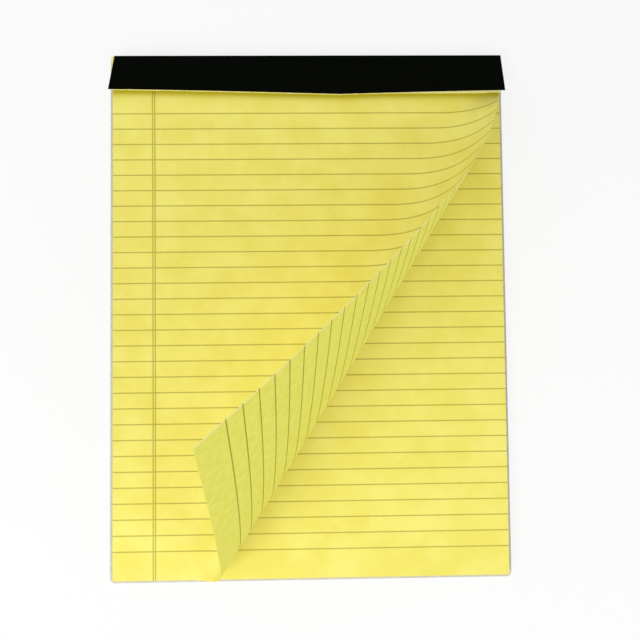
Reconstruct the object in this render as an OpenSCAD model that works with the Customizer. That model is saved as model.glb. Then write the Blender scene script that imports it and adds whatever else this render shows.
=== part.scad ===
// Letter-size legal pad with a taped head, stubs of torn-off sheets below the tape,
// and its top sheet lifted by one corner and rolled over. Millimetres.
// X runs across the page, +Y to the bound head, +Z up from the back of the board.

/* [Sheets] */
// Width of a sheet
sheet_w = 215.9; // [190:0.1:240]
// Length of a sheet, from the foot to the bound head
sheet_l = 286.6; // [250:0.1:330]
// Thickness of one sheet
sheet_t = 0.1; // [0.08:0.01:0.3]
// Sheets still in the pad below the lifted one
sheet_count = 43; // [10:1:90]
// Radius of the two corners at the foot
corner_r = 1; // [0.5:0.1:5]

/* [Backing board] */
// Thickness of the chipboard
board_t = 1; // [0.9:0.05:2]
// Distance that the board stands out past the sheets at the two sides
board_proud = 1.8; // [0.2:0.1:2.5]
// Distance that the board stands out past the sheets at the foot
board_foot = 2.5; // [0.2:0.1:3]

/* [Binding tape] */
// Thickness of the tape
tape_t = 0.2; // [0.1:0.02:0.3]
// Width of the tape's front flap at its two ends
tape_front = 18.6; // [14:0.1:30]
// Extra width of the front flap where its edge bows down in the middle
tape_bow = 2.4; // [0:0.1:4]
// Distance from the middle of the pad to the lowest point of that bow
bow_x = 17; // [-40:1:40]
// Width of the tape's back flap
tape_back = 20; // [12:0.5:35]
// Distance that the front flap's lower corners reach past the sheets
tape_flare = 2.8; // [0.5:0.1:4]
// Distance that the tape's ends stop short of the sheets at the head
tape_inset = 0.6; // [0:0.1:2]

/* [Torn stubs] */
// Torn-off sheets whose stubs are left under the tape
stub_count = 6; // [6:1:12]
// Length of stub that shows below the tape on the left
stub_show = 0.6; // [0.2:0.1:1.5]
// Length of stub that shows where the tear is worst, on the right
stub_show_right = 1.8; // [0.3:0.1:2.2]
// Depth of the nicks in the torn edge
stub_nick = 0.5; // [0.1:0.1:0.6]
// Place across the page where the worse tear begins
stub_worse_x = 40; // [0:1:80]

/* [Staples] */
// Number of staples through the head
staple_count = 3; // [2:1:4]
// Distance between the outermost staples
staple_spread = 130; // [80:1:150]
// Length of a staple's crown
staple_crown = 12; // [8:0.5:20]
// Diameter of the wire
wire_d = 0.5; // [0.35:0.05:0.55]
// Length of each clinched leg end
staple_clinch = 4; // [2:0.5:5]
// Distance from the head of the pad to the staples
staple_in = 9; // [5:0.5:11]
// Gap round the wire where it passes through paper and board
wire_clear = 0.05; // [0.02:0.01:0.1]

/* [Lifted sheet] */
// Distance below the ends of the tape at which the lifted sheet comes out from under the stubs
bind_drop = 2; // [1:0.1:6]
// Length of the lifted sheet over which it rises from there to the roll
bind_ease = 16; // [8:1:30]
// Gap between the stubs and the place where the sheet begins to rise
bind_gap = 0.2; // [0.1:0.05:0.6]
// Distance from the left side of the page to the roll's apex, further left
apex_left = 74; // [50:1:100]
// Distance from the foot of the page to the roll's apex, further down
apex_below = 207; // [180:1:240]
// Turn of the sheet in the roll, in degrees
roll_turn = 102; // [80:1:108]
// Angle at the apex from the start of the roll to the sheet's bound right corner
roll_before = 3.1; // [2:0.1:4]
// Angle at the apex over which the bend grows to its tightest
roll_lead = 1; // [0.8:0.1:2]
// Angle at the apex over which the bend then eases off
roll_trail = 10.4; // [8:0.1:12]
// Slight curl of the whole flap, in degrees for each degree at the apex
flap_curl = 0.54; // [0:0.02:0.8]

/* [Hidden] */
$fn = 48;
// Overshoot of cutting shapes
over = 1;

// Levels, from the back of the board to the outside of the tape
block_z = board_t;
top_z = block_z + sheet_count * sheet_t;
stub_z = top_z + sheet_t;
tape_z = stub_z + stub_count * sheet_t;
tape_top = tape_z + tape_t;

// Places along the page; the box round the pad has its middle on the Y axis' zero
shift_y = (board_foot - tape_t) / 2;
head_y = sheet_l / 2 + shift_y;
foot_y = -sheet_l / 2 + shift_y;
side_x = sheet_w / 2;
front_y = head_y - tape_front;
staple_y = head_y - staple_in;
bind_y = front_y - bind_drop;

// Line of the front flap's lower edge, a raised cosine that hangs lowest at bow_x
function bow_half(x) = x < bow_x ? bow_x + side_x : side_x - bow_x;
function bow_at(x) =
  let(u = min(1, abs(x - bow_x) / bow_half(x)))
  tape_bow * (0.5 + 0.5 * cos(180 * u));
function tape_edge(x) = front_y - bow_at(x);

// Outline of a sheet whose foot has round corners
module page_outline(w, y_low, y_high, r) {
  translate([-w / 2, y_low + r]) square([w, y_high - y_low - r]);
  translate([-w / 2 + r, y_low]) square([w - 2 * r, y_high - y_low]);
  for (s = [-1, 1]) translate([s * (w / 2 - r), y_low + r]) circle(r);
}

// Middles of the staples and the places of all their legs
staple_xs = [for (i = [0:staple_count - 1])
  -staple_spread / 2 + i * staple_spread / (staple_count - 1)];
leg_xs = [for (x = staple_xs, s = [-1, 1]) x + s * staple_crown / 2];
hole_d = wire_d + 2 * wire_clear;

// Holes for the staples' legs between two levels
module leg_holes(z_low, z_high) {
  for (x = leg_xs) translate([x, staple_y, z_low]) cylinder(d = hole_d, h = z_high - z_low);
}

// Chipboard back: a seat for the tape's back flap and grooves for the clinched leg ends
module backing_board() {
  color([0.62, 0.60, 0.54])
    difference() {
      linear_extrude(board_t)
        page_outline(sheet_w + 2 * board_proud, foot_y - board_foot, head_y, corner_r + board_proud);
      translate([-sheet_w, head_y - tape_back, -over]) cube([2 * sheet_w, tape_back + over, over + tape_t]);
      leg_holes(-over, board_t + over);
      for (x = staple_xs)
        translate([x - staple_crown / 2, staple_y - hole_d / 2, -over])
          cube([staple_crown, hole_d, over + tape_t + wire_d + wire_clear]);
    }
}

// Remaining sheets, closed as one block
module page_block() {
  color([0.94, 0.90, 0.41])
    difference() {
      translate([0, 0, block_z])
        linear_extrude(top_z - block_z) page_outline(sheet_w, foot_y, head_y, corner_r);
      leg_holes(block_z - over, top_z + over);
    }
}

// Lifted sheet. It is bent about rulings that all point to one apex beyond the left foot corner,
// so it rolls up without stretching. Angles are measured at the apex, from the +X direction.
// Only below the stubs, which hold its head flat, it leaves that form and rises to it.
apex = [-side_x - apex_left, foot_y - apex_below];
function angle_to(x, y) = atan2(y - apex.y, x - apex.x);
angle_corner = angle_to(side_x, bind_y);
angle_start = angle_corner + roll_before;
angle_foot_left = angle_to(-side_x, foot_y);
tip_cut = 0.02;
angle_tip = angle_to(side_x, foot_y) + tip_cut;

// Turn rate of the sheet, in degrees for each degree at the apex: it grows in the roll's lead,
// falls off in its trail and then keeps the flap's slight curl
function hump(u) = pow(cos(90 * max(0, min(1, u))), 2);
function turn_rate(a) =
  let(
    t = angle_start - roll_lead - a,
    roll = t < 0 ? hump(-t / roll_lead) : hump(t / roll_trail),
    curl = t < 0 ? max(0, 1 + t / roll_lead) : 1
  )
  2 * roll_turn / (roll_lead + roll_trail) * roll + flap_curl * curl;

// One step of the frame [ruling, across, normal] along the bent sheet
function spin(v, axis, a) = v * cos(a) + cross(axis, v) * sin(a) + axis * (axis * v) * (1 - cos(a));
function turn_frame(f, a, da) =
  let(
    way = turn_rate(a + da / 2) * f[0] + f[2],
    axis = way / norm(way)
  )
  [for (v = f) spin(v, axis, da * norm(way))];

// Angles of the rulings, with one through each corner of the page that the bend passes
bends_left = angle_start > angle_foot_left;
angle_stops = bends_left
  ? [angle_start, angle_foot_left, angle_corner, angle_tip]
  : [angle_start, angle_corner, angle_tip];
ruling_step = 0.3;
function spread(a, b) = let(n = ceil((a - b) / ruling_step)) [for (i = [1:n]) a + (b - a) * i / n];
ruling_angles = [
  angle_stops[0],
  for (i = [1:len(angle_stops) - 1]) each spread(angle_stops[i - 1], angle_stops[i])
];
last_ruling = len(ruling_angles) - 1;
first_frame = [
  [cos(angle_start), sin(angle_start), 0],
  [sin(angle_start), -cos(angle_start), 0],
  [0, 0, 1]
];
ruling_frames = [
  for (
    i = 0, f = first_frame;
    i <= last_ruling;
    f = i < last_ruling
      ? turn_frame(f, ruling_angles[i], ruling_angles[i + 1] - ruling_angles[i])
      : f,
    i = i + 1
  ) f
];

// Distances along a ruling to where it enters the sheet and to where it leaves it
function ruling_in(a) = max((foot_y - apex.y) / sin(a), (-side_x - apex.x) / cos(a));
function ruling_out(a) = min((bind_y - apex.y) / sin(a), (side_x - apex.x) / cos(a));

// Rows of points along a ruling: close together in the part that rises from the stubs
ease_rows = 5;
last_row = ease_rows + 1;
ease_least = 0.05;
function ruling_rows(a) =
  let(
    far = ruling_out(a),
    near = ruling_in(a),
    join = min((bind_y - bind_ease - apex.y) / sin(a), far - ease_least * (far - near))
  )
  [for (k = [0:ease_rows]) far + (join - far) * k / ease_rows, near];

// Share of the roll's lift that the sheet has at a place along the page
function lift_share(y) = let(u = max(0, min(1, (bind_y - y) / bind_ease))) 1 - pow(1 - u, 2);

// Points of the sheet on one ruling, a back one and a front one in each row
function ruling_points(i) =
  let(a = ruling_angles[i], f = ruling_frames[i])
  [for (rho = ruling_rows(a))
    let(
      flat = [apex.x + rho * cos(a), apex.y + rho * sin(a), top_z],
      bent = [apex.x, apex.y, top_z] + f[0] * rho,
      share = lift_share(flat.y),
      back = flat + (bent - flat) * share,
      up = [0, 0, 1 - share] + f[2] * share
    )
    each [back, back + up / norm(up) * sheet_t]];

// Corners of the flat part that lie on no ruling, in order from the head's right end to the foot
foot_arc = [for (a = [0:15:90]) [
  -side_x + corner_r * (1 - cos(a)),
  foot_y + corner_r * (1 - sin(a))
]];
flat_corners = concat([[side_x, head_y], [-side_x, head_y], [-side_x, bind_y]], bends_left ? [] : foot_arc);
start_x = apex.x + (bind_y - apex.y) / tan(angle_start);
// Ruling that ends at the bound right corner
corner_ruling = len([for (a = ruling_angles) if (a > angle_corner + tip_cut / 100) a]);

// Triangles from one point of the sheet's back to a run of others, and the same on its front
function fan(hub, run) = [for (i = [0:len(run) - 2]) each [
  [hub, run[i], run[i + 1]],
  [hub + 1, run[i + 1] + 1, run[i] + 1]
]];

module rolled_sheet() {
  per_ruling = 2 * (last_row + 1);
  bent = [for (i = [0:last_ruling]) each ruling_points(i)];
  flat = [for (p = flat_corners) each [[p.x, p.y, top_z], [p.x, p.y, top_z + sheet_t]]];
  n = len(bent);
  m = len(flat_corners);
  // The flat part is two fans: the head strip from its left end, and the page from the head strip's foot
  head_end = n + 2;
  page_end = n + 4;
  head_run = concat([page_end], [for (i = [0:corner_ruling]) per_ruling * i], [n]);
  page_run = concat([for (i = [3:1:m - 1]) n + 2 * i], [for (k = [last_row:-1:0]) 2 * k]);
  rim = concat([per_ruling * corner_ruling], [for (i = [0:m - 1]) n + 2 * i], [2 * last_row]);
  foot_row = 2 * last_row;
  faces = concat(
    fan(head_end, head_run),
    fan(page_end, page_run),
    [for (i = [0:len(rim) - 2]) let(p = rim[i], q = rim[i + 1]) each [
      [p, p + 1, q + 1],
      [p, q + 1, q]
    ]],
    [for (i = [0:last_ruling - 1], row = [0:last_row - 1])
      let(p = per_ruling * i + 2 * row, q = p + per_ruling) each [
        [p, p + 2, q + 2], [p, q + 2, q],
        [p + 1, q + 3, p + 3], [p + 1, q + 1, q + 3]
      ]],
    [for (i = [corner_ruling:last_ruling - 1]) let(p = per_ruling * i, q = p + per_ruling) each [
      [p, q, q + 1], [p, q + 1, p + 1]
    ]],
    [for (i = [0:last_ruling - 1]) let(p = per_ruling * i + foot_row, q = p + per_ruling) each [
      [p, p + 1, q + 1], [p, q + 1, q]
    ]],
    [for (row = [0:last_row - 1]) let(p = per_ruling * last_ruling + 2 * row) each [
      [p, p + 2, p + 3], [p, p + 3, p + 1]
    ]]
  );
  polyhedron(concat(bent, flat), faces);
}

module top_sheet() {
  color([0.96, 0.93, 0.45])
    difference() {
      rolled_sheet();
      leg_holes(top_z - over, stub_z + over);
    }
}

// Stubs of the torn-off sheets, in three plies with ragged lower edges
stub_plies = 3;
stub_points = 72;
stub_least = 0.1;
function stub_length(x) =
  let(u = max(0, min(1, (x - stub_worse_x) / (side_x - stub_worse_x) * 2)))
  stub_show + (stub_show_right - stub_show) * u * u * (3 - 2 * u);
module stub_ply(ply) {
  nicks = rands(0, stub_nick, stub_points + 1, 31 + ply);
  lower = [for (i = [0:stub_points])
    let(
      x = -side_x + sheet_w * i / stub_points,
      ragged = tape_edge(x) - max(stub_least, stub_length(x) - nicks[i] - ply * stub_nick / 4)
    )
    [x, x > start_x ? max(ragged, bind_y + bind_gap) : ragged]];
  polygon(concat(lower, [[side_x, head_y], [-side_x, head_y]]));
}

module torn_stubs() {
  ply_t = (tape_z - stub_z) / stub_plies;
  color([0.93, 0.90, 0.52])
    difference() {
      union() {
        for (ply = [0:stub_plies - 1])
          translate([0, 0, stub_z + ply * ply_t]) linear_extrude(ply_t) stub_ply(ply);
      }
      leg_holes(stub_z - over, tape_z + over);
      for (x = staple_xs)
        translate([x - staple_crown / 2, staple_y - hole_d / 2, tape_z - wire_d - wire_clear])
          cube([staple_crown, hole_d, wire_d + wire_clear + over]);
    }
}

// Cloth tape: front flap with a bowed edge and flared ends, spine over the head, back flap
tape_half = side_x - tape_inset;
flap_points = 48;
module tape_flap_outline() {
  low_half = side_x + tape_flare;
  lower = [for (i = [0:flap_points])
    let(x = -low_half + 2 * low_half * i / flap_points)
    [x, tape_edge(x)]];
  polygon(concat(lower, [[tape_half, head_y], [-tape_half, head_y]]));
}

// Section of the spine, round at its two outer folds
module spine_section() {
  intersection() {
    translate([head_y, 0]) square([tape_t, tape_top]);
    union() {
      translate([head_y - tape_t, tape_t]) square([2 * tape_t, tape_top - 2 * tape_t]);
      for (z = [tape_t, tape_top - tape_t]) translate([head_y, z]) circle(tape_t);
    }
  }
}

module binding_tape() {
  color([0.05, 0.05, 0.045])
    union() {
      translate([0, 0, tape_z]) linear_extrude(tape_t) tape_flap_outline();
      translate([-tape_half, head_y - tape_back, 0]) cube([2 * tape_half, tape_back, tape_t]);
      translate([-tape_half, 0, 0])
        rotate([90, 0, 90]) linear_extrude(2 * tape_half) spine_section();
    }
}

// Wire staple: crown let into the stubs, legs through the head, ends clinched under the board
module rod_x(length) {
  rotate([0, 90, 0]) cylinder(d = wire_d, h = length, center = true);
}

module staple() {
  crown_z = tape_z - wire_d / 2;
  clinch_z = tape_t + wire_d / 2;
  translate([0, 0, crown_z]) rod_x(staple_crown);
  for (s = [-1, 1]) {
    translate([s * staple_crown / 2, 0, clinch_z]) cylinder(d = wire_d, h = crown_z - clinch_z);
    translate([s * staple_crown / 2, 0, crown_z]) sphere(d = wire_d);
    translate([s * staple_crown / 2, 0, clinch_z]) sphere(d = wire_d);
    translate([s * (staple_crown - staple_clinch) / 2, 0, clinch_z]) rod_x(staple_clinch);
  }
}

module staples() {
  color([0.72, 0.73, 0.74])
    for (x = staple_xs) translate([x, staple_y, 0]) staple();
}

backing_board();
page_block();
top_sheet();
torn_stubs();
binding_tape();
staples();
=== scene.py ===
# %% [markdown]
# # A legal pad with its top sheet rolled over
# This lesson dresses the solid model of a ruled writing pad: a grey board, a block of
# yellow sheets, black tape over the head, the stubs of sheets torn off before, and a top
# sheet that is lifted by its lower right corner and rolled over. The solids come first and
# never move. Each cell then makes one piece or one finish in the same frame, in metres.

# %% Load the solids
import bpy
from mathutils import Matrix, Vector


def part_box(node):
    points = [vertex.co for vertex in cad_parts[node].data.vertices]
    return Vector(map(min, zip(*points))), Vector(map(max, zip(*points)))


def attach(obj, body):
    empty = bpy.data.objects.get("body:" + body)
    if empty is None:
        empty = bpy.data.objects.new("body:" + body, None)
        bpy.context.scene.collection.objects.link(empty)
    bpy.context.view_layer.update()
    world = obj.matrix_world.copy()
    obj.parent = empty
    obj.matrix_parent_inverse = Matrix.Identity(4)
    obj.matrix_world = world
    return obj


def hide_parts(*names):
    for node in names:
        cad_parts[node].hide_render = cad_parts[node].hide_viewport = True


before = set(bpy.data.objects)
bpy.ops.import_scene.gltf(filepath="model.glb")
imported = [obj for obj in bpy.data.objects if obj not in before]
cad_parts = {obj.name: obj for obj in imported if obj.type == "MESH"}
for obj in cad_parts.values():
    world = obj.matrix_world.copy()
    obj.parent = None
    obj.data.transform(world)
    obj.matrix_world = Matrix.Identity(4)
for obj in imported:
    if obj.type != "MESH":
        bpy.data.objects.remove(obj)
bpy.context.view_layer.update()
print("nodes:", ", ".join(sorted(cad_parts)))

# %% [markdown]
# ## Places on the pad
# Every piece is set against the solids, so the main places are read from their boxes:
# the two sides, the foot and the head of the sheets, and the levels of the page and of the
# tape. Only thicknesses are written down here, and how far the loose leaves stay inside the
# solid block: they are a little narrower, so that the lip of the board shows beside them.

# %% Places and levels
import math

import bmesh
import bpy
from mathutils import Matrix, Vector, noise

MM = 0.001
LIP_LEFT, LIP_RIGHT = 0.9 * MM, 0.5 * MM
page_low, page_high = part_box("page_block")
side_x = page_high.x
foot_y, head_y = page_low.y, page_high.y
block_z, top_z = page_low.z, page_high.z
leaf_left, leaf_right = -side_x + LIP_LEFT, side_x - LIP_RIGHT
sheet_t = 0.1 * MM
tape_t = 0.2 * MM
tape_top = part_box("binding_tape")[1].z
tape_z = tape_top - tape_t
print(f"page {2 * side_x:.4f} x {head_y - foot_y:.4f}, top at {top_z:.4f}, tape at {tape_top:.4f}")

# %% [markdown]
# ## The camera
# The pad is seen from almost straight above and from quite near, about 36 cm over the page,
# so the lifted corner looks larger than the page below it. A near camera gives that look;
# a long lens further off would flatten the roll.

# %% Camera
LENS, SENSOR = 37.27, 36.0
CAMERA_ACROSS, CAMERA_FROM_FOOT, CAMERA_OVER_PAGE = -1.77 * MM, 125.03 * MM, 363.4 * MM
CAMERA_TURN = 2.2845, -1.1754, -0.6231
NEAREST_SEEN = 0.01

camera = bpy.data.objects.new("camera", bpy.data.cameras.new("camera"))
camera.data.lens = LENS
camera.data.sensor_width = SENSOR
camera.data.clip_start = NEAREST_SEEN
camera.location = (CAMERA_ACROSS, foot_y + CAMERA_FROM_FOOT, top_z + CAMERA_OVER_PAGE)
camera.rotation_euler = [math.radians(a) for a in CAMERA_TURN]
bpy.context.scene.collection.objects.link(camera)
bpy.context.scene.camera = camera
print("camera at", tuple(round(c, 4) for c in camera.location))

# %% [markdown]
# ## Shader maths as plain sums
# A finish is a tree of nodes, and its sums are easier to read as Python. This class wraps
# one output of a node: adding or multiplying two of them, or one and a plain number, adds a
# Math node. Any other node comes from its one method, which sets the node's settings first
# and its inputs after.

# %% Class for sockets
class Wire:
    """One output socket of a shader tree, or a tree alone, to start from."""

    def __init__(self, tree, socket=None):
        self.tree = tree
        self.socket = socket

    def node(self, kind, settings=None, inputs=None, out=0):
        """A new node with its settings, its inputs' values or links, and the output wanted."""
        made = self.tree.nodes.new(kind)
        for name, value in (settings or {}).items():
            setattr(made, name, value)
        for name, value in (inputs or {}).items():
            if isinstance(value, Wire):
                self.tree.links.new(value.socket, made.inputs[name])
            else:
                made.inputs[name].default_value = value
        return Wire(self.tree, made.outputs[out])

    def math(self, operation, *values):
        return self.node("ShaderNodeMath", {"operation": operation}, dict(enumerate(values)))

    def __add__(self, other):
        return self.math("ADD", self, other)

    def __sub__(self, other):
        return self.math("SUBTRACT", self, other)

    def __rsub__(self, other):
        return self.math("SUBTRACT", other, self)

    def __mul__(self, other):
        return self.math("MULTIPLY", self, other)

    def __truediv__(self, other):
        return self.math("DIVIDE", self, other)

    def __rtruediv__(self, other):
        return self.math("DIVIDE", other, self)

    def __abs__(self):
        return self.math("ABSOLUTE", self)

    __radd__ = __add__
    __rmul__ = __mul__


print("socket class ready")

# %% [markdown]
# ## Small helpers for finishes
# A few things come back in every finish: a new material with its shader, a noise that is
# read at a scale in metres, a mix of two colours, a soft step and a bump. Colours are
# written as they look on a screen and turned into the linear numbers that the shader wants.

# %% Helpers for finishes
def screen_colour(red, green, blue):
    """A colour of 0 to 255 on screen as linear numbers, by the usual screen curve."""
    shares = [c / 255 for c in (red, green, blue)]
    linear = [((s + 0.055) / 1.055) ** 2.4 if s > 0.04 else s / 12.92 for s in shares]
    return (*linear, 1.0)


def new_finish(name, roughness, specular):
    """A material, a wire into its tree and its shader, with the values that stay the same."""
    finish = bpy.data.materials.new(name)
    finish.use_nodes = True
    shader = finish.node_tree.nodes["Principled BSDF"]
    shader.inputs["Roughness"].default_value = roughness
    shader.inputs["Specular IOR Level"].default_value = specular
    return finish, Wire(finish.node_tree), shader


def other_output(wire, name):
    """Another output of the node that this wire comes from."""
    return Wire(wire.tree, wire.socket.node.outputs[name])


def object_place(wire):
    """Place on a piece, in metres from the origin of the pad."""
    return wire.node("ShaderNodeTexCoord", out="Object")


def grain(wire, place, grains_per_metre, detail=3.0):
    """Noise between 0 and 1 with that many grains to the metre."""
    inputs = {"Vector": place, "Scale": grains_per_metre, "Detail": detail, "Roughness": 0.55}
    return wire.node("ShaderNodeTexNoise", {}, inputs)


def mixed(wire, factor, first, second):
    """The first colour where the factor is 0, the second where it is 1, by the node's colour sockets."""
    return wire.node("ShaderNodeMix", {"data_type": "RGBA"}, {0: factor, 6: first, 7: second}, out=2)


def ramped(wire, value, low, high):
    """0 up to low and 1 from high on, smooth in between; low may be the larger."""
    inputs = {"Value": value, "From Min": low, "From Max": high}
    return wire.node("ShaderNodeMapRange", {"interpolation_type": "SMOOTHSTEP"}, inputs)


def bump(wire, height, strength, distance):
    """Normal of a surface whose height wanders over that distance."""
    inputs = {"Height": height, "Strength": strength, "Distance": distance}
    return wire.node("ShaderNodeBump", {}, inputs)


def feed(shader, socket, wire):
    """Links a wire to one socket of the shader."""
    shader.id_data.links.new(wire.socket, shader.inputs[socket])


print("a mid yellow:", [round(c, 3) for c in screen_colour(240, 230, 105)])

# %% [markdown]
# ## Ruled yellow paper
# The paper is dyed in the pulp, so its colour wanders a little, in soft clouds and in fine
# fibres. Thin olive rules cross the whole width at one spacing, and a double margin rule
# runs down the left. A picture of the page could be laid on it, but rules that are worked
# out stay sharp at any size. They are drawn from flat coordinates of the page, in metres
# from the middle of the pad, so that they follow the sheet when it is bent.

# %% Rules and painted edge highlight
RULE_PITCH = 8.524 * MM
RULE_LOWEST = foot_y + 15.48 * MM
RULE_COUNT = 29
MARGIN_XS = -85.3 * MM, -84.1 * MM
INK_FULL, INK_GONE = 0.18 * MM, 0.45 * MM
# Where the painted highlight along the right edge begins and where it is full.
HIGHLIGHT_FROM, HIGHLIGHT_FULL = side_x - 0.8 * MM, side_x - 0.2 * MM


def rule_mask(wire, place):
    """1 on the printed rules and the double margin, 0 on bare paper."""
    across = wire.node("ShaderNodeSeparateXYZ", {}, {0: place})
    along = other_output(across, 1)
    row = (along - RULE_LOWEST) / RULE_PITCH
    nearest = wire.math("MINIMUM", wire.math("ROUND", row), RULE_COUNT - 1)
    nearest = wire.math("MAXIMUM", nearest, 0)
    off_rule = abs(row - nearest) * RULE_PITCH
    off_margin = wire.math("MINIMUM", *[abs(across - x) for x in MARGIN_XS])
    off_line = wire.math("MINIMUM", off_rule, off_margin)
    return ramped(wire, off_line, INK_GONE, INK_FULL)


def edge_highlight_mask(wire, place):
    """1 along the right edge of a sheet, where a painted highlight makes it paler."""
    across = wire.node("ShaderNodeSeparateXYZ", {}, {0: place})
    return ramped(wire, across, HIGHLIGHT_FROM, HIGHLIGHT_FULL)


print("rules from", round(RULE_LOWEST, 4), "to", round(RULE_LOWEST + (RULE_COUNT - 1) * RULE_PITCH, 4))

# %% [markdown]
# ## Three finishes of the same paper
# The page that lies flat, the front of the lifted sheet and its back share one recipe. The
# back is painted a little darker and greener as shade on the rolled flap, its finer clouds
# are painted light shining through the paper, and its rules are stronger. A painted shadow
# deepens the front of the lifted sheet just below the stubs; each vertex keeps a number for
# it, and the flat place that the rules are drawn from. A painted highlight pales the right edge of every
# sheet.

# %% Paper finishes
INK = screen_colour(134, 121, 16)
# Painted shadow: the deep yellow that darkens the lifted sheet just below the stubs.
STUB_SHADOW_TONE = screen_colour(202, 185, 4)
# Painted highlight: a pale line along the right edge of each sheet.
EDGE_HIGHLIGHT_TONE = screen_colour(255, 255, 205)
FRONT_TONES = screen_colour(245, 233, 110), screen_colour(252, 242, 130)
# Painted shade and light: the back is darker and greener for the shade on the rolled flap, and its finer
# clouds stand for light shining through the paper.
SHADED_BACK_TONES = screen_colour(234, 230, 98), screen_colour(242, 238, 114)
FRONT_LOOK = {"tones": FRONT_TONES, "clouds": 55, "ink": 0.57, "relief": 0.2, "highlight": 0.25}
SHADED_BACK_LOOK = {"tones": SHADED_BACK_TONES, "clouds": 260, "ink": 0.75, "relief": 0.05, "highlight": 0.85}
FIBRES, INK_GRAINS = 1400, 900
CLOUD_SHARE, FIBRE_SHARE = 0.75, 0.25
PAPER_SPAN = 0.32, 0.68
INK_LEAST, INK_SPREAD = 0.8, 0.4
FIBRE_DEPTH = 0.05 * MM
STUB_SHADOW_SHARE = 0.95


def flat_place(wire):
    """Place on the sheet as it was before it was bent."""
    return wire.node("ShaderNodeAttribute", {"attribute_name": "page_xy"}, out="Vector")


def ruled_paper(name, place_of, look, stub_shadow_share=0.0):
    """Paper finish whose rules are read from the place that place_of gives."""
    finish, wire, shader = new_finish(name, roughness=0.82, specular=0.1)
    place = place_of(wire)
    clouds = grain(wire, place, look["clouds"])
    fibres = grain(wire, place, FIBRES, detail=5.0)
    tone = ramped(wire, clouds * CLOUD_SHARE + fibres * FIBRE_SHARE, *PAPER_SPAN)
    paper = mixed(wire, tone, *look["tones"])
    # Painted shadow below the stubs, by the share kept on each vertex.
    if stub_shadow_share:
        stub_shadow = wire.node("ShaderNodeAttribute", {"attribute_name": "stub_shadow"}, out="Fac")
        paper = mixed(wire, stub_shadow * stub_shadow_share, paper, STUB_SHADOW_TONE)
    # Painted highlight along the right edge of the sheet.
    paper = mixed(wire, edge_highlight_mask(wire, place) * look["highlight"], paper, EDGE_HIGHLIGHT_TONE)
    inked = INK_LEAST + grain(wire, place, INK_GRAINS) * INK_SPREAD
    ink = rule_mask(wire, place) * inked * look["ink"]
    feed(shader, "Base Color", mixed(wire, ink, paper, INK))
    feed(shader, "Normal", bump(wire, fibres, look["relief"], FIBRE_DEPTH))
    return finish


page_paper = ruled_paper("ruled_page_paper", object_place, FRONT_LOOK)
sheet_paper = ruled_paper("ruled_sheet_paper", flat_place, FRONT_LOOK, STUB_SHADOW_SHARE)
sheet_back = ruled_paper("ruled_sheet_back", flat_place, SHADED_BACK_LOOK)
print("papers:", page_paper.name, sheet_paper.name, sheet_back.name)

# %% [markdown]
# ## Keeping a piece
# Each finished mesh becomes an object at the origin, rides on the pad's one body and hides the
# solid that it stands for.

# %% Helper that keeps a piece
SHARP_FROM = 35


def keep_piece(bm, name, finishes, node):
    """The mesh as a piece that stands for one solid."""
    mesh = bpy.data.meshes.new(name)
    bm.to_mesh(mesh)
    bm.free()
    for finish in finishes:
        mesh.materials.append(finish)
    mesh.shade_smooth()
    mesh.set_sharp_from_angle(angle=math.radians(SHARP_FROM))
    piece = bpy.data.objects.new(name, mesh)
    bpy.context.scene.collection.objects.link(piece)
    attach(piece, "root")
    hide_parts(node)
    triangles = sum(len(p.vertices) - 2 for p in mesh.polygons)
    print(f"{name}: {triangles} triangles, size {[round(d, 4) for d in piece.dimensions]}")


print("edges are sharp from", SHARP_FROM, "degrees")

# %% [markdown]
# ## Where the head holds the sheets
# The tape's lower edge isn't straight: it bows down right of the middle. The stubs show just
# below it, and they hold the top sheet, which is loose from there on. Both edges are needed
# by several pieces, so they come first, as functions of the place across the page.

# %% Tape edge and hold line
TAPE_FRONT_LEFT, TAPE_FRONT_RIGHT, TAPE_FRONT_BOW = 18.5 * MM, 19.7 * MM, 21.6 * MM
BOW_X = 18 * MM
BOW_POWER = 1.25
BIND_Y = head_y - 21.3 * MM
STUB_HOLD = 0.4 * MM


def tape_edge(x):
    """Lower edge of the tape's front flap."""
    end = TAPE_FRONT_LEFT if x < BOW_X else TAPE_FRONT_RIGHT
    half = side_x + BOW_X if x < BOW_X else side_x - BOW_X
    share = max(0.0, 1 - abs(x - BOW_X) / half)
    return head_y - end - (TAPE_FRONT_BOW - end) * share ** BOW_POWER


def hold_line(x):
    """Where the stubs let go of the top sheet."""
    line = tape_edge(x) - STUB_HOLD
    return min(BIND_Y, line) if x > BOW_X else line


print("sheet held down to", [round(hold_line(x), 4) for x in (-side_x, BOW_X, side_x)])

# %% [markdown]
# ## The lines of the bend
# Paper bends but doesn't stretch, so a lifted corner rolls up as part of a cone: straight
# lines from one far apex stay straight, and only the angle between them turns. The apex lies
# off the lower left of the pad, and the bend starts a little before the line through the
# bound corner.

# %% Apex and start of the bend
APEX = Vector((-side_x - 74 * MM, foot_y - 207 * MM, 0))
ROLL_FROM_Y = head_y - 20.6 * MM
ROLL_BEFORE = 2.474


def apex_angle(x, y):
    """Direction from the apex to a place on the flat page, in degrees."""
    return math.degrees(math.atan2(y - APEX.y, x - APEX.x))


START_ANGLE = apex_angle(side_x, ROLL_FROM_Y) + ROLL_BEFORE
TIP_ANGLE = apex_angle(side_x, foot_y)
START_X = APEX.x + (BIND_Y - APEX.y) / math.tan(math.radians(START_ANGLE))
print(f"bend from {START_ANGLE:.2f} to {TIP_ANGLE:.2f} degrees, at the head from x = {START_X:.4f}")

# %% [markdown]
# ## The lifted sheet, flat
# The real sheet starts flat, so the piece does too: one grid, finer at the right where the
# roll is tight near the stubs. Its foot corner is rounded with a bevel, and each vertex
# keeps its flat place for the rules, and its share of the painted shadow below the stubs, before
# anything is bent.

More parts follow.
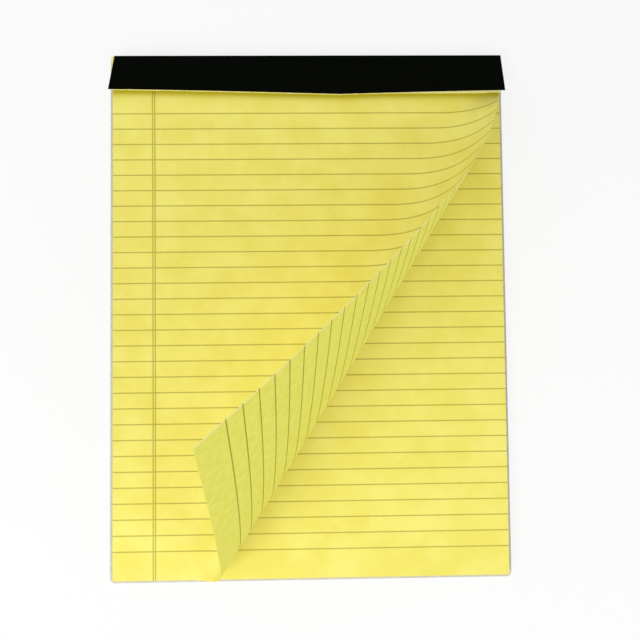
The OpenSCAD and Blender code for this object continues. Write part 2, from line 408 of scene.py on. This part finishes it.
# %% Painted shadow below the stubs
SHADOW_WIDTH, SHADOW_WIDER, WIDER_OVER = 5.5 * MM, 2.5 * MM, 20 * MM
SHADOW_TAIL, TAIL_SHARE = 14 * MM, 0.18


def smooth(u):
    """0 up to 0 and 1 from 1 on, with a soft step in between."""
    u = max(0.0, min(1.0, u))
    return u * u * (3 - 2 * u)


def stub_shadow_at(x, y):
    """Share of painted shadow: 1 where the stubs let go of the sheet, fading to 0 below; wider in the
    corner that lifts.
    """
    below = hold_line(x) - y
    width = SHADOW_WIDTH + SHADOW_WIDER * smooth((x - START_X) / WIDER_OVER)
    return 1 - (1 - TAIL_SHARE) * smooth(below / width) - TAIL_SHARE * smooth(below / SHADOW_TAIL)


print("crease 10 mm below the hold line:", round(stub_shadow_at(0, hold_line(0) - 10 * MM), 3))

# %% Cut the flat sheet
CORNER_R, CORNER_STEPS = 1.0 * MM, 6
COLUMNS, COLUMNS_LEFT = 130, 60
ROWS, ROWS_BELOW = 190, 120
FINE_FROM_X = START_X - 45 * MM
FINE_FROM_Y = BIND_Y - 30 * MM
NEAR = 1e-6


def stretch(share, knee_share, low, knee, high):
    """Place of a grid line: even steps up to the knee and even steps after it."""
    if share < knee_share:
        return low + (knee - low) * share / knee_share
    return knee + (high - knee) * (share - knee_share) / (1 - knee_share)


def round_corners(bm, corners):
    """Rounds these corners of a flat outline."""
    bmesh.ops.bevel(
        bm, geom=corners, offset=CORNER_R, affect="VERTICES",
        segments=CORNER_STEPS, profile=0.5, material=-1,
    )


def cut_sheet():
    bm = bmesh.new()
    bmesh.ops.create_grid(bm, x_segments=COLUMNS, y_segments=ROWS, size=0.5)
    for v in bm.verts:
        v.co.x = stretch(v.co.x + 0.5, COLUMNS_LEFT / COLUMNS, leaf_left, FINE_FROM_X, side_x)
        v.co.y = stretch(v.co.y + 0.5, ROWS_BELOW / ROWS, foot_y, FINE_FROM_Y, head_y)
    foot_corner = [v for v in bm.verts if v.co.x < leaf_left + NEAR and v.co.y < foot_y + NEAR]
    round_corners(bm, foot_corner)
    return bm


sheet = cut_sheet()
flat_layer = sheet.verts.layers.float_vector.new("page_xy")
stub_shadow_layer = sheet.verts.layers.float.new("stub_shadow")
for v in sheet.verts:
    v[flat_layer] = v.co
    v[stub_shadow_layer] = stub_shadow_at(v.co.x, v.co.y)
print("flat sheet:", len(sheet.faces), "faces")

# %% [markdown]
# ## Bending the sheet without stretching it
# A cloth simulation would let the sheet sag, and paper doesn't. The bend is stepped instead,
# from line to line of the cone, and each vertex is then moved to its place along its own
# line. Past the roll the flap keeps a slight curl, which fades towards its tip.

# %% Turn of the bend
ROLL_TURN, ROLL_LEAD, ROLL_TRAIL = 100.33, 0.393, 9.537
FLAP_CURL, CURL_FADE, FADE_FROM = 0.684, 0.0203, 8.0
BEND_STEP = 0.05


def hump(u):
    """1 at 0, falling to 0 at 1."""
    return math.cos(math.pi / 2 * max(0.0, min(1.0, u))) ** 2


def turn_rate(angle):
    """Turn of the sheet for each degree at the apex."""
    past = START_ANGLE - ROLL_LEAD - angle
    roll = hump(-past / ROLL_LEAD) if past < 0 else hump(past / ROLL_TRAIL)
    curl = max(0.0, 1 + past / ROLL_LEAD) if past < 0 else 1.0
    curl = FLAP_CURL * curl - CURL_FADE * max(0.0, past - FADE_FROM)
    return 2 * ROLL_TURN / (ROLL_LEAD + ROLL_TRAIL) * roll + curl


def bend_lines():
    """Direction and normal of the lines from the apex, from the start of the bend to the tip."""
    start = math.radians(START_ANGLE)
    line, up = Vector((math.cos(start), math.sin(start), 0)), Vector((0, 0, 1))
    lines = [(line, up)]
    angle = START_ANGLE
    while angle > TIP_ANGLE - BEND_STEP:
        way = turn_rate(angle - BEND_STEP / 2) * line + up
        turn = Matrix.Rotation(-math.radians(BEND_STEP) * way.length, 3, way.normalized())
        line, up = turn @ line, turn @ up
        lines.append((line, up))
        angle -= BEND_STEP
    return lines


lines = bend_lines()
print(len(lines), "lines in the bend")

# %% [markdown]
# ## Loose paper below the stubs
# The stubs hold the head of the sheet flat, so just below them it leaves the cone and dips.
# A soft swelling there and slight waves keep the flat part from looking pressed. Far from
# the apex, near the head, the roll is also drawn in a little, as the held corner pulls it.

# %% Bend the sheet
BIND_EASE = 16 * MM
SWELL, CREST_AT, FALL_FROM = 1.2 * MM, 3.5 * MM, 4 * MM
FALL_SHORT, FALL_LONG, SHORT_SHARE = 14 * MM, 70 * MM, 0.4
WAVE, WAVE_ACROSS, WAVE_ALONG, WAVE_SLICE = 0.2 * MM, 60 * MM, 50 * MM, 3
WAVE_OVER, FOOT_OVER, LIFT_OVER = 30 * MM, 20 * MM, 3.0
DRAW_IN, DRAWN_FROM, DRAWN_OVER = 2.18, 320 * MM, 160 * MM


def lift_share(y):
    """Share of the roll's lift that is left near the stubs."""
    u = max(0.0, min(1.0, (BIND_Y - y) / BIND_EASE))
    return 1 - (1 - u) ** 2


def rise(x, y):
    """Height of the loose flat paper over the page: a swelling below the stubs and soft waves."""
    below = max(0.0, hold_line(x) - y)
    crest = 1 - (1 - min(1.0, below / CREST_AT)) ** 2
    past_crest = below - FALL_FROM
    fall = SHORT_SHARE * smooth(past_crest / FALL_SHORT)
    fall += (1 - SHORT_SHARE) * smooth(past_crest / FALL_LONG)
    wander = 1 + noise.noise(Vector((x / WAVE_ACROSS, y / WAVE_ALONG, WAVE_SLICE)))
    height = SWELL * crest * (1 - fall) + WAVE * wander * smooth(below / WAVE_OVER)
    return height * smooth((y - foot_y) / FOOT_OVER)


def bend_sheet(bm):
    """Moves each vertex of the flat sheet to its place on the bent one."""
    base = Vector((APEX.x, APEX.y, top_z + sheet_t))
    aside = lines[0][0].cross(lines[0][1])
    for v in bm.verts:
        reach = Vector((v.co.x - APEX.x, v.co.y - APEX.y, 0))
        steps = (START_ANGLE - math.degrees(math.atan2(reach.y, reach.x))) / BEND_STEP
        lift, share = rise(v.co.x, v.co.y), lift_share(v.co.y)
        flat = base + reach
        if steps <= 0:
            v.co = flat + Vector((0, 0, lift))
            continue
        i = min(int(steps), len(lines) - 2)
        line = lines[i][0].lerp(lines[i + 1][0], steps - i).normalized()
        up = lines[i][1].lerp(lines[i + 1][1], steps - i).normalized()
        lift *= 1 - smooth(steps * BEND_STEP / LIFT_OVER)
        v.co = flat.lerp(base + line * reach.length, share) + up * lift
        drawn_in = DRAW_IN * share * smooth((reach.length - DRAWN_FROM) / DRAWN_OVER)
        out = (v.co - base).dot(aside)
        v.co -= aside * drawn_in * out * abs(out)


bend_sheet(sheet)
bmesh.ops.recalc_face_normals(sheet, faces=sheet.faces[:])
print("tip of the sheet at", [round(c, 4) for c in max((v.co for v in sheet.verts), key=lambda c: c.z)])

# %% [markdown]
# ## Giving the sheet its thickness
# A face has no thickness and would show no edge. The solidify operator adds the back at one
# paper thickness behind the front, and closes the rim between them. The added faces take the
# finish of the sheet's back.

# %% Thickness of the sheet
def thicken(bm, thickness):
    """Adds a back at that distance behind each face, which points to the front."""
    fronts = set(bm.faces)
    bmesh.ops.solidify(bm, geom=bm.faces[:], thickness=thickness)
    return [f for f in bm.faces if f not in fronts]


for f in thicken(sheet, sheet_t):
    f.material_index = 1
keep_piece(sheet, "lifted_sheet", [sheet_paper, sheet_back], "top_sheet")

# %% [markdown]
# ## The block of sheets
# The sheets below are a stack of loose leaves whose edges never line up quite. One box with
# a striped finish would do from above, but its sides would be flat. So each leaf is a thin
# outline with two round corners at the foot, moved a little at random, and the sides show
# fine layers. Only the uppermost leaf is ruled; the edges get a plain paper finish.

# %% Finish for the edges of the leaves
EDGE_TONES = screen_colour(208, 194, 84), screen_colour(244, 236, 146)
EDGE_LAYERS, LAYER_DEPTH, LAYER_RELIEF = 5200, 0.06 * MM, 0.4
SOFT_SPAN = 0.3, 0.7
ALONG_LAYERS = (0.02, 0.02, 1.0)


def edge_paper():
    finish, wire, shader = new_finish("leaf_edge_paper", roughness=0.9, specular=0.2)
    place = {"Vector": object_place(wire), "Scale": ALONG_LAYERS}
    layers = grain(wire, wire.node("ShaderNodeMapping", {}, place), EDGE_LAYERS, detail=4.0)
    feed(shader, "Base Color", mixed(wire, ramped(wire, layers, *SOFT_SPAN), *EDGE_TONES))
    feed(shader, "Normal", bump(wire, layers, LAYER_RELIEF, LAYER_DEPTH))
    return finish


leaf_edges = edge_paper()
print("edge finish:", leaf_edges.name)

# %% Stack of leaves
LEAF_COUNT = 43
LEAF_GAP = 0.006 * MM
LEAF_JITTER, JITTER_STEP = 0.12 * MM, 1.7
JITTER_ACROSS, JITTER_ALONG = 0.3, 9.3


def cut_leaf(bm, thickness):
    """The lowest leaf of the stack, as a thin closed outline."""
    bmesh.ops.create_grid(bm, x_segments=1, y_segments=1, size=0.5)
    for v in bm.verts:
        v.co = (leaf_left if v.co.x < 0 else leaf_right, foot_y if v.co.y < 0 else head_y, block_z)
    round_corners(bm, [v for v in bm.verts if v.co.y < 0])
    raised = bmesh.ops.extrude_face_region(bm, geom=bm.faces[:], use_keep_orig=True)["geom"]
    top_verts = [g for g in raised if isinstance(g, bmesh.types.BMVert)]
    bmesh.ops.translate(bm, verts=top_verts, vec=(0, 0, thickness))
    bmesh.ops.recalc_face_normals(bm, faces=bm.faces[:])


def stack_leaves():
    bm = bmesh.new()
    pitch = (top_z - block_z) / LEAF_COUNT
    cut_leaf(bm, pitch - LEAF_GAP)
    leaf = bm.verts[:] + bm.edges[:] + bm.faces[:]
    for f in bm.faces:
        f.material_index = 1
    for i in range(1, LEAF_COUNT):
        copied = bmesh.ops.duplicate(bm, geom=leaf)["geom"]
        across = noise.noise(Vector((i * JITTER_STEP, JITTER_ACROSS, 0)))
        along = noise.noise(Vector((i * JITTER_STEP, JITTER_ALONG, 0)))
        shift = Vector((across, along, 0)) * LEAF_JITTER + Vector((0, 0, i * pitch + LEAF_GAP))
        leaf_verts = [g for g in copied if isinstance(g, bmesh.types.BMVert)]
        bmesh.ops.translate(bm, verts=leaf_verts, vec=shift)
    top = max(bm.faces, key=lambda f: f.calc_center_median().z)
    top.material_index = 0
    return bm


keep_piece(stack_leaves(), "page_leaves", [page_paper, leaf_edges], "page_block")

# %% [markdown]
# ## The binding tape
# The tape is one strip of black cloth, glued on the front, folded over the head and glued on
# the back. Three thin boxes would meet in hard corners, so the piece is made as the real one
# is: a flat strip, a fine grid, whose rows are wrapped round the head. Its front edge bows
# down right of the middle and its ends flare.

# %% Finish for the tape
TAPE_TONES = screen_colour(1, 3, 1), screen_colour(8, 10, 7)
THREADS, TAPE_SPECKS, TAPE_PATCHES = 420.0, 1500, 240
THREAD_DEPTH, THREAD_RELIEF = 0.05 * MM, 0.25
TAPE_SPAN = 0.25, 0.85
ROUGH_LEAST, ROUGH_SPREAD = 0.62, 0.2


def tape_cloth():
    finish, wire, shader = new_finish("black_binding_cloth", roughness=0.75, specular=0.02)
    place = object_place(wire)
    woven = {"Vector": place, "Scale": THREADS, "Distortion": 1.2, "Detail": 2.0}
    across = wire.node("ShaderNodeTexWave", {"bands_direction": "X"}, woven, out="Fac")
    along = wire.node("ShaderNodeTexWave", {"bands_direction": "Y"}, woven, out="Fac")
    weave = across * 0.5 + along * 0.5
    speck = grain(wire, place, TAPE_SPECKS, detail=4.0)
    tone = ramped(wire, weave * 0.5 + speck * 0.5, *TAPE_SPAN)
    feed(shader, "Base Color", mixed(wire, tone, *TAPE_TONES))
    feed(shader, "Roughness", ROUGH_LEAST + grain(wire, place, TAPE_PATCHES) * ROUGH_SPREAD)
    feed(shader, "Normal", bump(wire, weave * 0.7 + speck * 0.3, THREAD_RELIEF, THREAD_DEPTH))
    return finish


black_cloth = tape_cloth()
print("tape finish:", black_cloth.name)

# %% Rows of the tape
TAPE_BACK = 20 * MM
FRONT_ENDS = -side_x - 1.9 * MM, side_x + 2.8 * MM
HEAD_ENDS = -side_x + 1.6 * MM, side_x + 0.5 * MM
BACK_ENDS = -side_x + 0.6 * MM, side_x - 0.6 * MM
FRONT_ROWS, FOLD_STEPS, BACK_ROWS = 12, 5, 8
EDGE_WOBBLE, WOBBLES, WOBBLE_ROW = 0.08 * MM, 80, 2


def between(ends, share):
    return ends[0] + (ends[1] - ends[0]) * share


def front_place(share, way_up):
    """Place on the front flap, by the share of the way along the tape and up to the head."""
    front_x, head_x = between(FRONT_ENDS, share), between(HEAD_ENDS, share)
    edge = tape_edge(front_x) + EDGE_WOBBLE * noise.noise(Vector((share * WOBBLES, WOBBLE_ROW, 0)))
    return between((front_x, head_x), way_up), between((edge, head_y), way_up), tape_top


def tape_rows():
    """Rows of the strip: their two ends, and their y and z; on the front flap no ends and a way up."""
    front = [(None, i / FRONT_ROWS) for i in range(FRONT_ROWS)]
    turn = [math.pi / 2 * i / FOLD_STEPS for i in range(FOLD_STEPS + 1)]
    rounded = [(tape_t * math.sin(a), tape_t * math.cos(a)) for a in turn]
    upper = [(HEAD_ENDS, (head_y + s, tape_z + c)) for s, c in rounded]
    lower = [(BACK_ENDS, (head_y + c, tape_t - s)) for s, c in rounded]
    back = [(BACK_ENDS, (head_y - TAPE_BACK * i / BACK_ROWS, 0.0)) for i in range(1, BACK_ROWS + 1)]
    return front + upper + lower + back


rows = tape_rows()
print(len(rows), "rows from the front edge round to the back edge")

# %% Wrap the tape
TAPE_COLUMNS = 240
TAPE_FIT = 0.98


def wrap_tape():
    bm = bmesh.new()
    bmesh.ops.create_grid(bm, x_segments=TAPE_COLUMNS, y_segments=len(rows) - 1, size=0.5)
    for v in bm.verts:
        ends, place = rows[round((v.co.y + 0.5) * (len(rows) - 1))]
        share = v.co.x + 0.5
        v.co = (between(ends, share), *place) if ends else front_place(share, place)
    bmesh.ops.recalc_face_normals(bm, faces=bm.faces[:])
    if max(bm.faces, key=lambda f: f.calc_center_median().z).normal.z < 0:
        bmesh.ops.reverse_faces(bm, faces=bm.faces[:])
    return bm


tape = wrap_tape()
thicken(tape, tape_t * TAPE_FIT)
keep_piece(tape, "tape_strip", [black_cloth], "binding_tape")

# %% [markdown]
# ## Stubs of torn-off sheets
# Each sheet that was torn off left a narrow strip under the tape, and the ends of some peep
# out below it, pale where the torn fibres show. A bump in the finish would leave the outline
# smooth, so the tear is in the mesh: each strip is a fine grid whose lower edge follows the
# tape and is roughened by noise. The tear is worst at the right.

# %% Finish for torn paper
STUB_TONES = screen_colour(232, 222, 118), screen_colour(252, 248, 190)
STUB_FLUFF, FLUFF_DEPTH, FLUFF_RELIEF = 1800, 0.08 * MM, 0.5


def torn_paper():
    finish, wire, shader = new_finish("torn_stub_paper", roughness=0.9, specular=0.2)
    fluff = grain(wire, object_place(wire), STUB_FLUFF, detail=4.0)
    feed(shader, "Base Color", mixed(wire, ramped(wire, fluff, *SOFT_SPAN), *STUB_TONES))
    feed(shader, "Normal", bump(wire, fluff, FLUFF_RELIEF, FLUFF_DEPTH))
    return finish


stub_paper = torn_paper()
print("stub finish:", stub_paper.name)

# %% Torn edge
STUB_SHOW, STUB_SHOW_RIGHT, STUB_LEAST = 0.6 * MM, 1.8 * MM, 0.08 * MM
STUB_WORSE_X, WORSE_OVER = 40 * MM, 30 * MM
STUB_WORST_X = (STUB_WORSE_X + side_x) / 2
COARSE_TEAR, FINE_TEAR, FINE_SLICE = 9 * MM, 1.1 * MM, 8
NICK, NICK_COARSE, NICK_FINE = 0.25 * MM, 0.35 * MM, 0.15 * MM
PLY_STEP, PLY_BACK = 3.7, 0.06 * MM
HOLD_CLEAR = 0.1 * MM


def stub_edge(x, ply):
    """Ragged lower edge of one strip."""
    right = smooth((x - STUB_WORSE_X) / (STUB_WORST_X - STUB_WORSE_X))
    show = STUB_SHOW + (STUB_SHOW_RIGHT - STUB_SHOW) * right
    coarse = noise.noise(Vector((x / COARSE_TEAR, ply * PLY_STEP, 0)))
    fine = noise.noise(Vector((x / FINE_TEAR, ply * PLY_STEP, FINE_SLICE)))
    torn = 1 + smooth((x - STUB_WORSE_X) / WORSE_OVER)
    nick = (NICK + NICK_COARSE * coarse + NICK_FINE * fine) * torn + ply * PLY_BACK
    edge = tape_edge(x) - max(STUB_LEAST, show - nick)
    return max(edge, hold_line(x) + HOLD_CLEAR)


print("first strip ends at", [round(stub_edge(x, 0), 4) for x in (-side_x, BOW_X, side_x)])

# %% Torn strips
STUB_COUNT = 6
STUB_COLUMNS = 520
STUB_MIDDLE_Y = head_y - TAPE_FRONT_LEFT + 1.5 * MM
STUB_FIT = 0.94


def add_strip(bm, ply, low_z):
    """A strip of three rows: the torn edge, a straight row under the tape and the head."""
    made = bmesh.ops.create_grid(bm, x_segments=STUB_COLUMNS, y_segments=2, size=0.5)["verts"]
    for v in made:
        x = 2 * v.co.x * side_x
        row = round(2 * v.co.y)
        if row < 0:
            y = stub_edge(x, ply)
        else:
            y = head_y if row else STUB_MIDDLE_Y
        v.co = (x, y, low_z)


def tear_strips():
    bm = bmesh.new()
    for ply in range(STUB_COUNT):
        add_strip(bm, ply, top_z + sheet_t * (ply + 2))
    bmesh.ops.recalc_face_normals(bm, faces=bm.faces[:])
    turned = [f for f in bm.faces if f.normal.z < 0]
    bmesh.ops.reverse_faces(bm, faces=turned)
    thicken(bm, sheet_t * STUB_FIT)
    return bm


keep_piece(tear_strips(), "stub_strips", [stub_paper], "torn_stubs")

# %% [markdown]
# ## Board and staples
# The board and the staples are stiff, and their solids already have the right shape, so they
# stay and get a finish: grey chipboard full of pulp specks, and bright drawn wire.

# %% Finishes for the board and the staples
BOARD_TONES = screen_colour(203, 200, 190), screen_colour(217, 214, 203)
SPECK_TONE = screen_colour(128, 124, 114)
STAPLE_TONES = screen_colour(176, 178, 181), screen_colour(212, 213, 215)
PULP, PULP_SPECKS, BOARD_FIBRES, DRAWN_GRAINS = 420, 1300, 2200, 3000
SPECK_SPAN, SPECK_SHARE = (0.63, 0.72), 0.5
BOARD_DEPTH, BOARD_RELIEF = 0.05 * MM, 0.35
STAPLE_ROUGH, STAPLE_SPREAD = 0.25, 0.2


def chipboard():
    finish, wire, shader = new_finish("grey_chipboard", roughness=0.9, specular=0.2)
    place = object_place(wire)
    pulp = grain(wire, place, PULP, detail=8.0)
    specks = ramped(wire, grain(wire, place, PULP_SPECKS, detail=2.0), *SPECK_SPAN)
    grey = mixed(wire, ramped(wire, pulp, *SOFT_SPAN), *BOARD_TONES)
    feed(shader, "Base Color", mixed(wire, specks * SPECK_SHARE, grey, SPECK_TONE))
    fibres = grain(wire, place, BOARD_FIBRES, detail=4.0)
    feed(shader, "Normal", bump(wire, fibres, BOARD_RELIEF, BOARD_DEPTH))
    return finish


def staple_wire():
    finish, wire, shader = new_finish("drawn_staple_wire", roughness=0.3, specular=0.5)
    shader.inputs["Metallic"].default_value = 1.0
    drawn = grain(wire, object_place(wire), DRAWN_GRAINS)
    feed(shader, "Base Color", mixed(wire, drawn, *STAPLE_TONES))
    feed(shader, "Roughness", STAPLE_ROUGH + drawn * STAPLE_SPREAD)
    return finish


for node, finish in (("backing_board", chipboard()), ("staples", staple_wire())):
    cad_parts[node].data.materials.clear()
    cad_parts[node].data.materials.append(finish)
    print(node, "has", finish.name)

# %% [markdown]
# ## Floor
# The pad lies on a plain white floor. A lamp strong enough to make it white would bleach the
# paper, so most of what the camera sees of the floor is plain white, and the rest is lit and
# keeps the pad's shadow. Metal sees the floor in the same way.

# %% Floor
FLOOR_HALF, FLOOR_DROP = 4.0, 0.2 * MM
FLOOR_GREY = (0.9, 0.9, 0.9, 1.0)
WHITE = (1, 1, 1, 1)
FLOOR_WHITE = 0.8


def seen_share(wire):
    """1 for rays that the camera sees, straight or by a mirror or glass, and 0 for light."""
    rays = wire.node("ShaderNodeLightPath", out="Is Camera Ray")
    seen = rays + other_output(rays, "Is Glossy Ray") + other_output(rays, "Is Transmission Ray")
    return wire.math("MINIMUM", seen, 1.0)


def pale_floor():
    finish, wire, shader = new_finish("pale_floor", roughness=0.9, specular=0.1)
    shader.inputs["Base Color"].default_value = FLOOR_GREY
    white = wire.node("ShaderNodeEmission", {}, {"Color": WHITE, "Strength": 1.0})
    lit = Wire(wire.tree, shader.outputs[0])
    blend = wire.node("ShaderNodeMixShader", {}, {0: seen_share(wire) * FLOOR_WHITE, 1: lit, 2: white})
    output = finish.node_tree.nodes["Material Output"]
    finish.node_tree.links.new(blend.socket, output.inputs["Surface"])
    return finish


bm = bmesh.new()
below_pad = Matrix.Translation((0, 0, -FLOOR_DROP))
bmesh.ops.create_grid(bm, x_segments=4, y_segments=4, size=FLOOR_HALF, matrix=below_pad)
floor_mesh = bpy.data.meshes.new("floor")
bm.to_mesh(floor_mesh)
bm.free()
floor_mesh.materials.append(pale_floor())
floor = bpy.data.objects.new("floor", floor_mesh)
bpy.context.scene.collection.objects.link(floor)
print("floor", [round(d, 2) for d in floor.dimensions])

# %% [markdown]
# ## Light and view
# A wide soft lamp stands to the lower left, like a window, and two weak ones, left and right,
# soften the shade in the roll. An even world fills the rest. It is white to the camera but
# lights the pad at about half of that, so that a colour comes out about as it is written.

# %% Lamps
def soft_lamp(name, place, size, power):
    """A round lamp that points at the middle of the pad."""
    lamp = bpy.data.lights.new(name, "AREA")
    lamp.shape = "DISK"
    lamp.size = size
    lamp.energy = power
    made = bpy.data.objects.new(name, lamp)
    made.location = place
    made.rotation_euler = (-Vector(place)).to_track_quat("-Z", "Y").to_euler()
    bpy.context.scene.collection.objects.link(made)
    print(name, power, "W")


soft_lamp("window", (-0.7, -0.75, 0.8), size=0.8, power=6.9)
soft_lamp("left_fill", (-0.5, -0.25, 0.35), size=0.5, power=0.85)
soft_lamp("right_fill", (0.45, -0.35, 0.4), size=0.5, power=0.92)

# %% World and view
WORLD_LIGHT = 0.52

world = bpy.data.worlds.new("studio")
bpy.context.scene.world = world
world.use_nodes = True
sky = world.node_tree.nodes["Background"]
sky.inputs["Color"].default_value = WHITE
strength = WORLD_LIGHT + seen_share(Wire(world.node_tree)) * (1 - WORLD_LIGHT)
feed(sky, "Strength", strength)
bpy.context.scene.view_settings.view_transform = "Standard"
print("world lights the pad at", WORLD_LIGHT)
